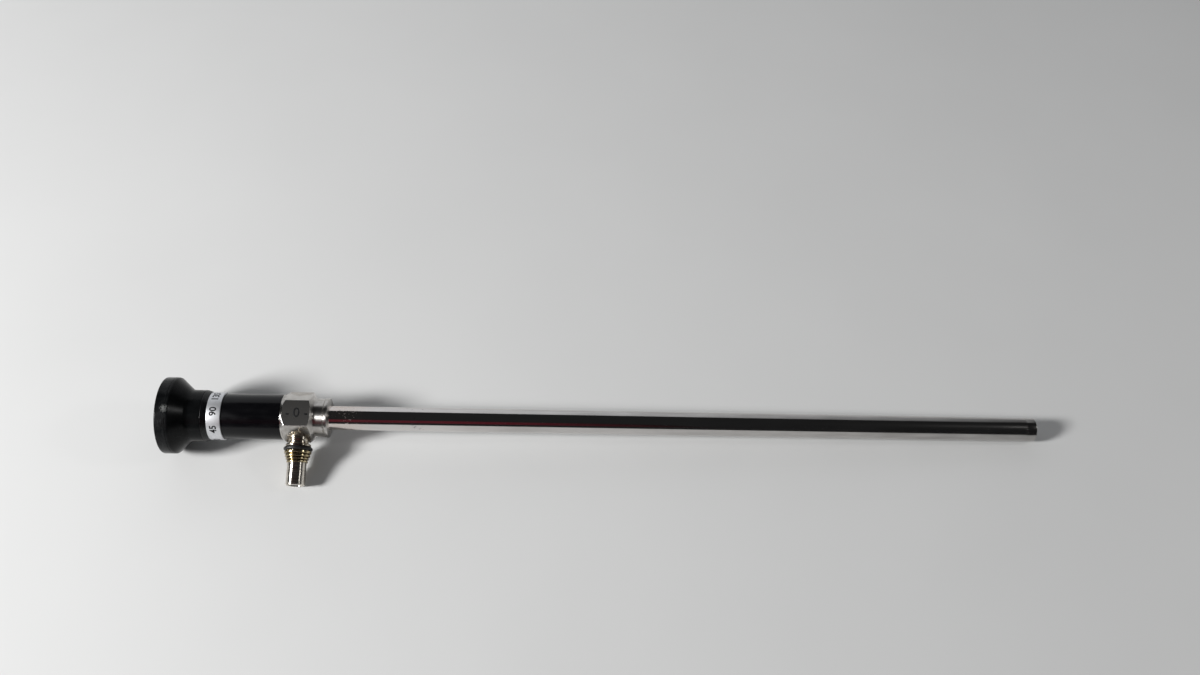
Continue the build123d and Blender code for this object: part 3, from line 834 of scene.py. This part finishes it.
def machined_steel():
    """Machined stainless steel: ground satin flats, turned nose, painted shade with grime at the
    post's foot.
    """
    short_of_nose = 1.1
    foot_r = 4.4
    foot_shade_width = 0.5
    satin_end = nose_end - NOSE_LENGTH - short_of_nose
    made, tree, shader = finish_of("machined_steel", Metallic=1.0)
    spot = axis_coordinates(tree, scope)
    near_post = axis_coordinates(tree, post)
    round_it = add(tree, "Mapping", {"Vector": spot, "Scale": grains(0.5, 0.05)})
    thin = {"Vector": round_it, "Scale": 1.0, "Detail": 3.0, "Roughness": 0.6}
    fine = add(tree, "TexNoise", thin)
    broad = {"Vector": spot, "Scale": 1 / (2.4 * MM), "Detail": 5.0, "Roughness": 0.6}
    wander = add(tree, "TexNoise", broad)
    # Painted shade with grime: a patchy dark brown ring on the hexagon round the post's foot, where
    # the two parts meet
    foot_patch_noise = {"Vector": near_post, "Scale": 1 / (0.9 * MM), "Detail": 4.0, "Roughness": 0.65}
    foot_patches = add(tree, "TexNoise", foot_patch_noise)
    aside_x = add(tree, "SeparateXYZ", {0: near_post}, "X")
    aside_y = aside_x.node.outputs["Y"]
    aside = add(tree, "CombineXYZ", {0: aside_x, 1: aside_y, 2: 0.0})
    reach = add(tree, "VectorMath", {0: aside}, "Value", operation="LENGTH")
    limits = {1: foot_r * MM, 2: (foot_r + foot_shade_width) * MM, 3: 1.0, 4: 0.0}
    ring = add(tree, "MapRange", {0: reach, **limits})
    patchy = add(tree, "MapRange", {0: foot_patches, 1: 0.35, 2: 0.62, 3: 0.0, 4: 0.5})
    foot_shade_and_grime = add(tree, "Math", {0: ring, 1: patchy}, operation="MULTIPLY")
    share = add(tree, "MapRange", {0: wander, 1: 0.38, 2: 0.68})
    base = add(tree, "Mix", {0: share, 6: "#C9C6C2", 7: "#ACA9A5"}, 2, data_type="RGBA")
    base = add(tree, "Mix", {0: foot_shade_and_grime, 6: base, 7: "#6B5638"}, 2, data_type="RGBA")
    satin = add(tree, "MapRange", {0: wander, 1: 0.3, 2: 0.75, 3: 0.23, 4: 0.28})
    lathed = add(tree, "MapRange", {0: wander, 1: 0.3, 2: 0.75, 3: 0.3, 4: 0.36})
    on_flats = between(tree, spot, sleeve_end, satin_end, 0.3)
    rough = add(tree, "Mix", {0: on_flats, 2: lathed, 3: satin}, data_type="FLOAT")
    bump = add(tree, "Bump", {"Height": fine, "Distance": 0.003 * MM, "Strength": 0.3})
    feed(shader, Base_Color=base, Roughness=rough, Normal=bump)
    brush_along(tree, shader, along, 0.9)
    return made


def drawn_steel_tube():
    """Drawn and polished stainless tube: a mirror with fine lengthwise lines, duller to the tip.

    A thin brown film and pale flecks lie in front of the flange, and a few nicks farther on.
    """
    film_length = 14.0
    nicks_start = 100.0
    nicks_end = 108.0
    made, tree, shader = finish_of("drawn_steel_tube", Metallic=1.0)
    spot = axis_coordinates(tree, scope)
    drawn = add(tree, "Mapping", {"Vector": spot, "Scale": grains(0.16, 14.0)})
    thin = {"Vector": drawn, "Scale": 1.0, "Detail": 3.0, "Roughness": 0.6}
    lines = add(tree, "TexNoise", thin)
    patches = add(tree, "Mapping", {"Vector": spot, "Scale": grains(5.0, 26.0)})
    broad = {"Vector": patches, "Scale": 1.0, "Detail": 4.0, "Roughness": 0.6}
    cloud = add(tree, "TexNoise", broad)
    short = add(tree, "Mapping", {"Vector": spot, "Scale": grains(0.7, 1.1)})
    speck = add(tree, "TexNoise", {"Vector": short, "Scale": 1.0, "Detail": 2.0})
    struck = add(tree, "MapRange", {0: speck, 1: 0.66, 2: 0.7})
    nick_zone = between(tree, spot, nicks_start, nicks_end, 3.0)
    nicks = add(tree, "Math", {0: struck, 1: nick_zone}, operation="MULTIPLY")
    z = add(tree, "SeparateXYZ", {0: spot}, "Z")
    worn = add(tree, "MapRange", {0: z, 1: nose_flange_end * MM, 2: tip * MM})
    share = add(tree, "MapRange", {0: cloud, 1: 0.35, 2: 0.7})
    base = add(tree, "Mix", {0: share, 6: "#E2DFDD", 7: "#D0CDCB"}, 2, data_type="RGBA")
    patchy = add(tree, "MapRange", {0: cloud, 1: 0.3, 2: 0.7, 3: 0.5, 4: 1.0})
    dulled = add(tree, "Math", {0: worn, 1: patchy}, operation="MULTIPLY")
    base = add(tree, "Mix", {0: dulled, 6: base, 7: "#9B9996"}, 2, data_type="RGBA")
    root = between(tree, spot, nose_flange_end - 2.0, nose_flange_end + film_length, 5.0)
    uneven = add(tree, "MapRange", {0: cloud, 1: 0.3, 2: 0.6, 3: 0.4, 4: 1.0})
    film = add(tree, "Math", {0: root, 1: uneven}, operation="MULTIPLY")
    small = add(tree, "Mapping", {"Vector": spot, "Scale": grains(0.6, 1.2)})
    droplet = add(tree, "TexNoise", {"Vector": small, "Scale": 1.0, "Detail": 2.0})
    dried = add(tree, "MapRange", {0: droplet, 1: 0.6, 2: 0.66})
    flecks = add(tree, "Math", {0: root, 1: dried}, operation="MULTIPLY")
    base = add(tree, "Mix", {0: film, 6: base, 7: "#DACFC8"}, 2, data_type="RGBA")
    base = add(tree, "Mix", {0: nicks, 6: base, 7: "#1E1A18"}, 2, data_type="RGBA")
    dull = add(tree, "MapRange", {0: cloud, 1: 0.3, 2: 0.7, 3: 0.05, 4: 0.11})
    for mark, amount in ((worn, 0.07), (film, 0.04), (flecks, 0.22)):
        duller = add(tree, "Math", {0: mark, 1: amount}, operation="MULTIPLY")
        dull = add(tree, "Math", {0: dull, 1: duller})
    bump = add(tree, "Bump", {"Height": lines, "Distance": 0.0015 * MM, "Strength": 0.3})
    feed(shader, Base_Color=base, Roughness=dull, Normal=bump)
    return made


def plated_post_steel():
    """Bright plated steel: a mirror with faint turning rings, and brown film near its foot."""
    made, tree, shader = finish_of("plated_post_steel", Metallic=1.0)
    spot = axis_coordinates(tree, post)
    round_it = add(tree, "Mapping", {"Vector": spot, "Scale": grains(15.0, 0.08)})
    rings_cut = add(tree, "TexNoise", {"Vector": round_it, "Scale": 1.0, "Detail": 2.0})
    patches = add(tree, "Mapping", {"Vector": spot, "Scale": grains(1.1, 0.8)})
    smudged = {"Vector": patches, "Scale": 1.0, "Detail": 4.0, "Roughness": 0.6}
    smudge = add(tree, "TexNoise", smudged)
    foot = between(tree, spot, 0.0, rings_start, 0.6)
    patchy = add(tree, "MapRange", {0: smudge, 1: 0.4, 2: 0.66, 3: 0.1, 4: 0.6})
    film = add(tree, "Math", {0: foot, 1: patchy}, operation="MULTIPLY")
    share = add(tree, "MapRange", {0: smudge, 1: 0.35, 2: 0.7})
    base = add(tree, "Mix", {0: share, 6: "#D8D3CA", 7: "#C6BFB5"}, 2, data_type="RGBA")
    base = add(tree, "Mix", {0: film, 6: base, 7: "#B09A70"}, 2, data_type="RGBA")
    gloss = add(tree, "MapRange", {0: rings_cut, 1: 0.3, 2: 0.7, 3: 0.25, 4: 0.3})
    bump = add(tree, "Bump", {"Height": rings_cut, "Distance": 0.001 * MM, "Strength": 0.3})
    feed(shader, Base_Color=base, Roughness=gloss, Normal=bump)
    brush_along(tree, shader, outward, 0.95)
    return made


def stained_ring_steel():
    """Turned steel rings: plating with patchy brown stain, and painted shade in dark brown in the
    gaps between them.
    """
    made, tree, shader = finish_of("stained_ring_steel", Metallic=1.0)
    spot = axis_coordinates(tree, post)
    patches = add(tree, "Mapping", {"Vector": spot, "Scale": grains(1.4, 0.6)})
    stained = {"Vector": patches, "Scale": 1.0, "Detail": 5.0, "Roughness": 0.65}
    stain = add(tree, "TexNoise", stained)
    round_it = add(tree, "Mapping", {"Vector": spot, "Scale": grains(12.0, 0.1)})
    cut_lines = add(tree, "TexNoise", {"Vector": round_it, "Scale": 1.0, "Detail": 2.0})
    # Painted shade: the floors of the gaps between the rings are darkened to a dark brown
    gap_shade = 0.0
    floor_start = rings_start
    for width in RING_WIDTHS[:-1]:
        floor_start += width
        mask = between(tree, spot, floor_start, floor_start + RING_GAP, 0.12)
        gap_shade = add(tree, "Math", {0: mask, 1: gap_shade}, operation="MAXIMUM")
        floor_start += RING_GAP
    share = add(tree, "MapRange", {0: stain, 1: 0.4, 2: 0.68})
    base = add(tree, "Mix", {0: share, 6: "#D6C9A6", 7: "#8E7A50"}, 2, data_type="RGBA")
    base = add(tree, "Mix", {0: gap_shade, 6: base, 7: "#4A3920"}, 2, data_type="RGBA")
    rough = add(tree, "MapRange", {0: stain, 1: 0.3, 2: 0.7, 3: 0.18, 4: 0.32})
    bump = add(tree, "Bump", {"Height": cut_lines, "Distance": 0.004 * MM, "Strength": 0.5})
    feed(shader, Base_Color=base, Roughness=rough, Normal=bump)
    brush_along(tree, shader, outward, 0.7)
    return made


def seal_ring_rubber():
    """Moulded black rubber: soft sheen, slightly dusty."""
    made, tree, shader = finish_of("seal_ring_rubber", IOR=1.5)
    spot = axis_coordinates(tree, post)
    dusty = {"Vector": spot, "Scale": 1 / (0.9 * MM), "Detail": 5.0, "Roughness": 0.6}
    dust = add(tree, "TexNoise", dusty)
    share = add(tree, "MapRange", {0: dust, 1: 0.5, 2: 0.75})
    base = add(tree, "Mix", {0: share, 6: "#0D0C0C", 7: "#2A2826"}, 2, data_type="RGBA")
    rough = add(tree, "MapRange", {0: dust, 1: 0.3, 2: 0.7, 3: 0.35, 4: 0.6})
    bump = add(tree, "Bump", {"Height": dust, "Distance": 0.015 * MM, "Strength": 0.4})
    feed(shader, Base_Color=base, Roughness=rough, Normal=bump)
    return made


def black_number_ink():
    """Black paint rubbed into the figures, slightly broken up."""
    made, tree, shader = finish_of("black_number_ink", IOR=1.5, Specular_IOR_Level=0.2)
    spot = axis_coordinates(tree, scope)
    worn = {"Vector": spot, "Scale": 1 / (0.5 * MM), "Detail": 4.0, "Roughness": 0.6}
    rubbed = add(tree, "TexNoise", worn)
    share = add(tree, "MapRange", {0: rubbed, 1: 0.55, 2: 0.72})
    base = add(tree, "Mix", {0: share, 6: "#0B0B0D", 7: "#2A2A2C"}, 2, data_type="RGBA")
    rough = add(tree, "MapRange", {0: rubbed, 1: 0.3, 2: 0.7, 3: 0.45, 4: 0.7})
    feed(shader, Base_Color=base, Roughness=rough)
    return made


def coated_window_glass():
    """Polished window with a thin coating: clear, dark inside, a faint violet sheen."""
    made, tree, shader = finish_of(
        "coated_window_glass", IOR=1.6, Transmission_Weight=0.9, Coat_Weight=0.3
    )
    spot = axis_coordinates(tree, scope)
    haze = add(tree, "TexNoise", {"Vector": spot, "Scale": 1 / (2.0 * MM), "Detail": 3.0})
    base = add(tree, "Mix", {0: haze, 6: "#DDE6EC", 7: "#CFD6E6"}, 2, data_type="RGBA")
    polish = add(tree, "MapRange", {0: haze, 1: 0.3, 2: 0.7, 3: 0.01, 4: 0.04})
    feed(shader, Base_Color=base, Roughness=polish)
    return made


def optical_glass():
    """Clear optical glass, polished."""
    made, tree, shader = finish_of("optical_glass", IOR=1.52, Transmission_Weight=0.95)
    spot = axis_coordinates(tree, scope)
    haze = add(tree, "TexNoise", {"Vector": spot, "Scale": 1 / (3.0 * MM), "Detail": 2.0})
    base = add(tree, "Mix", {0: haze, 6: "#F2F6F8", 7: "#E2EAEE"}, 2, data_type="RGBA")
    polish = add(tree, "MapRange", {0: haze, 1: 0.3, 2: 0.7, 3: 0.01, 4: 0.03})
    feed(shader, Base_Color=base, Roughness=polish)
    return made


def fibre_bundle_glass():
    """Bundle of light fibres, drawn coarser than real so that its dots show."""
    made, tree, shader = finish_of("fibre_bundle_glass", IOR=1.5, Specular_IOR_Level=0.6)
    spot = axis_coordinates(tree, scope)
    packed = {"Vector": spot, "Scale": 1 / (0.12 * MM)}
    cells = add(tree, "TexVoronoi", packed, "Distance")
    share = add(tree, "MapRange", {0: cells, 1: 0.2, 2: 0.6})
    base = add(tree, "Mix", {0: share, 6: "#D8D3BE", 7: "#5A5240"}, 2, data_type="RGBA")
    rough = add(tree, "MapRange", {0: cells, 1: 0.2, 2: 0.6, 3: 0.15, 4: 0.4})
    feed(shader, Base_Color=base, Roughness=rough)
    return made


def turned_inner_steel():
    """Inner steel parts as they left the lathe: grey, with fine rings."""
    made, tree, shader = finish_of("turned_inner_steel", Metallic=1.0)
    spot = axis_coordinates(tree, scope)
    round_it = add(tree, "Mapping", {"Vector": spot, "Scale": grains(15.0, 0.12)})
    lines = add(tree, "TexNoise", {"Vector": round_it, "Scale": 1.0, "Detail": 2.0})
    base = add(tree, "Mix", {0: lines, 6: "#BDBBB8", 7: "#9C9A97"}, 2, data_type="RGBA")
    rough = add(tree, "MapRange", {0: lines, 1: 0.3, 2: 0.7, 3: 0.25, 4: 0.4})
    bump = add(tree, "Bump", {"Height": lines, "Distance": 0.008 * MM, "Strength": 0.5})
    feed(shader, Base_Color=base, Roughness=rough, Normal=bump)
    return made


def black_anodised_mount():
    """Matt black anodised lens mounts, which keep stray light down."""
    made, tree, shader = finish_of("black_anodised_mount", Metallic=0.6)
    spot = axis_coordinates(tree, scope)
    round_it = add(tree, "Mapping", {"Vector": spot, "Scale": grains(15.0, 0.15)})
    lines = add(tree, "TexNoise", {"Vector": round_it, "Scale": 1.0, "Detail": 2.0})
    base = add(tree, "Mix", {0: lines, 6: "#141414", 7: "#222222"}, 2, data_type="RGBA")
    rough = add(tree, "MapRange", {0: lines, 1: 0.3, 2: 0.7, 3: 0.5, 4: 0.65})
    bump = add(tree, "Bump", {"Height": lines, "Distance": 0.01 * MM, "Strength": 0.5})
    feed(shader, Base_Color=base, Roughness=rough, Normal=bump)
    return made


finishes = {
    "black_cap": moulded_black_plastic(),
    "black_ring": turned_black_plastic(),
    "black_sleeve": gloss_black_anodised(),
    "silver_band": brushed_aluminium_band(),
    "body_steel": machined_steel(),
    "shaft_steel": drawn_steel_tube(),
    "post_steel": plated_post_steel(),
    "stained_steel": stained_ring_steel(),
    "inner_steel": turned_inner_steel(),
    "black_lens_mount": black_anodised_mount(),
    "seal_rubber": seal_ring_rubber(),
    "window_glass": coated_window_glass(),
    "lens_glass": optical_glass(),
    "fibre_glass": fibre_bundle_glass(),
}


def wear(piece, material):
    """Give a piece one material, in place of any that it has."""
    piece.data.materials.clear()
    piece.data.materials.append(material)


for piece, slot in dressed:
    wear(piece, finishes[slot])
ink = black_number_ink()
for figure in figures:
    wear(figure, ink)

for node in frame["nodes"].values():
    for place in node.material_slots:
        slot = place.material.name.split(".")[0]
        if slot in finishes:
            place.material = finishes[slot]


# Floor, lamps and the cards that stand for a room


def make_floor():
    """Smooth white paper: matt, with a faint unevenness."""
    size = 3.4
    set_back = 0.3
    deselect_all()
    bpy.ops.mesh.primitive_plane_add(size=size, location=(0, set_back, 0))
    paper = bpy.context.object
    paper.name = "paper_floor"
    bpy.ops.object.transform_apply(location=True)
    made, tree, shader = finish_of(
        "matt_white_paper", IOR=1.4, Specular_IOR_Level=0.2, Roughness=0.85
    )
    spot = add(tree, "TexCoord", output="Object")
    cloud = add(tree, "TexNoise", {"Vector": spot, "Scale": 1 / (90.0 * MM), "Detail": 3.0})
    base = add(tree, "Mix", {0: cloud, 6: "#CFCFCE", 7: "#D5D5D4"}, 2, data_type="RGBA")
    feed(shader, Base_Color=base)
    wear(paper, made)


def make_lamp(name, centre, size, power):
    """Soft square lamp that faces the middle of the part."""
    data = bpy.data.lights.new(name, "AREA")
    data.shape = "SQUARE"
    data.size = size
    data.energy = power
    lamp = bpy.data.objects.new(name, data)
    bpy.context.scene.collection.objects.link(lamp)
    facing = (-Vector(centre)).to_track_quat("-Z", "Y")
    lamp.matrix_world = Matrix.Translation(centre) @ facing.to_matrix().to_4x4()


def make_card(name, centre, width, height, lean, colour, fade_out, strength, lights):
    """Standing card that the metal mirrors, fading out along X and never in view itself."""
    deselect_all()
    bpy.ops.mesh.primitive_plane_add(size=1.0)
    card = bpy.context.object
    card.name = name
    card.matrix_world = (
        Matrix.Translation(centre)
        @ Matrix.Rotation(radians(lean), 4, "X")
        @ Matrix.Diagonal((width, height, 1.0, 1.0))
    )
    bpy.ops.object.transform_apply(location=True, rotation=True, scale=True)
    made, tree, shader = finish_of(name, Roughness=1.0)
    shader.inputs["Base Color"].default_value = (0.0, 0.0, 0.0, 1.0)
    shader.inputs["Emission Color"].default_value = linear(colour)
    spot = add(tree, "TexCoord", output="Object")
    across = add(tree, "SeparateXYZ", {0: spot}, "X")
    fades = {1: fade_out[0], 2: fade_out[1], 3: strength, 4: 0.0}
    fade = add(tree, "MapRange", {0: across, **fades})
    feed(shader, Emission_Strength=fade)
    wear(card, made)
    card.visible_camera = False
    card.visible_diffuse = lights
    card.visible_shadow = False


make_floor()
make_lamp("key_lamp", centre=(-1.05, -0.39, 0.65), size=0.26, power=22.0)
make_lamp("right_lamp", centre=(0.75, -0.05, 0.55), size=0.12, power=0.7)
make_card(
    "pale_wall",
    centre=(-0.35, 0.95, 0.55),
    width=2.9,
    height=1.1,
    lean=90,
    colour="#E9EBEE",
    fade_out=(0.0, 1.1),
    strength=0.82,
    lights=True,
)
make_card(
    "rose_card",
    centre=(-0.25, -0.75, 0.5),
    width=1.1,
    height=0.42,
    lean=-90,
    colour="#A01838",
    fade_out=(0.05, 0.3),
    strength=0.24,
    lights=False,
)

# The room: dim overhead and in mirrors, pale where the camera sees past the paper
ROOM_LIGHT = 0.15
ROOM_MIRRORED = 0.02
ROOM_SEEN = 0.8

world = bpy.data.worlds.new("studio_room")
world.use_nodes = True
bpy.context.scene.world = world
room = world.node_tree
background = room.nodes["Background"]
mirrored = add(room, "LightPath", output="Is Glossy Ray")
in_view = mirrored.node.outputs["Is Camera Ray"]
level = add(room, "Mix", {0: mirrored, 2: ROOM_LIGHT, 3: ROOM_MIRRORED}, data_type="FLOAT")
level = add(room, "Mix", {0: in_view, 2: level, 3: ROOM_SEEN}, data_type="FLOAT")
feed(background, Strength=level)
background.inputs["Color"].default_value = linear("#F0F2F6")

bpy.context.scene.view_settings.view_transform = "Standard"
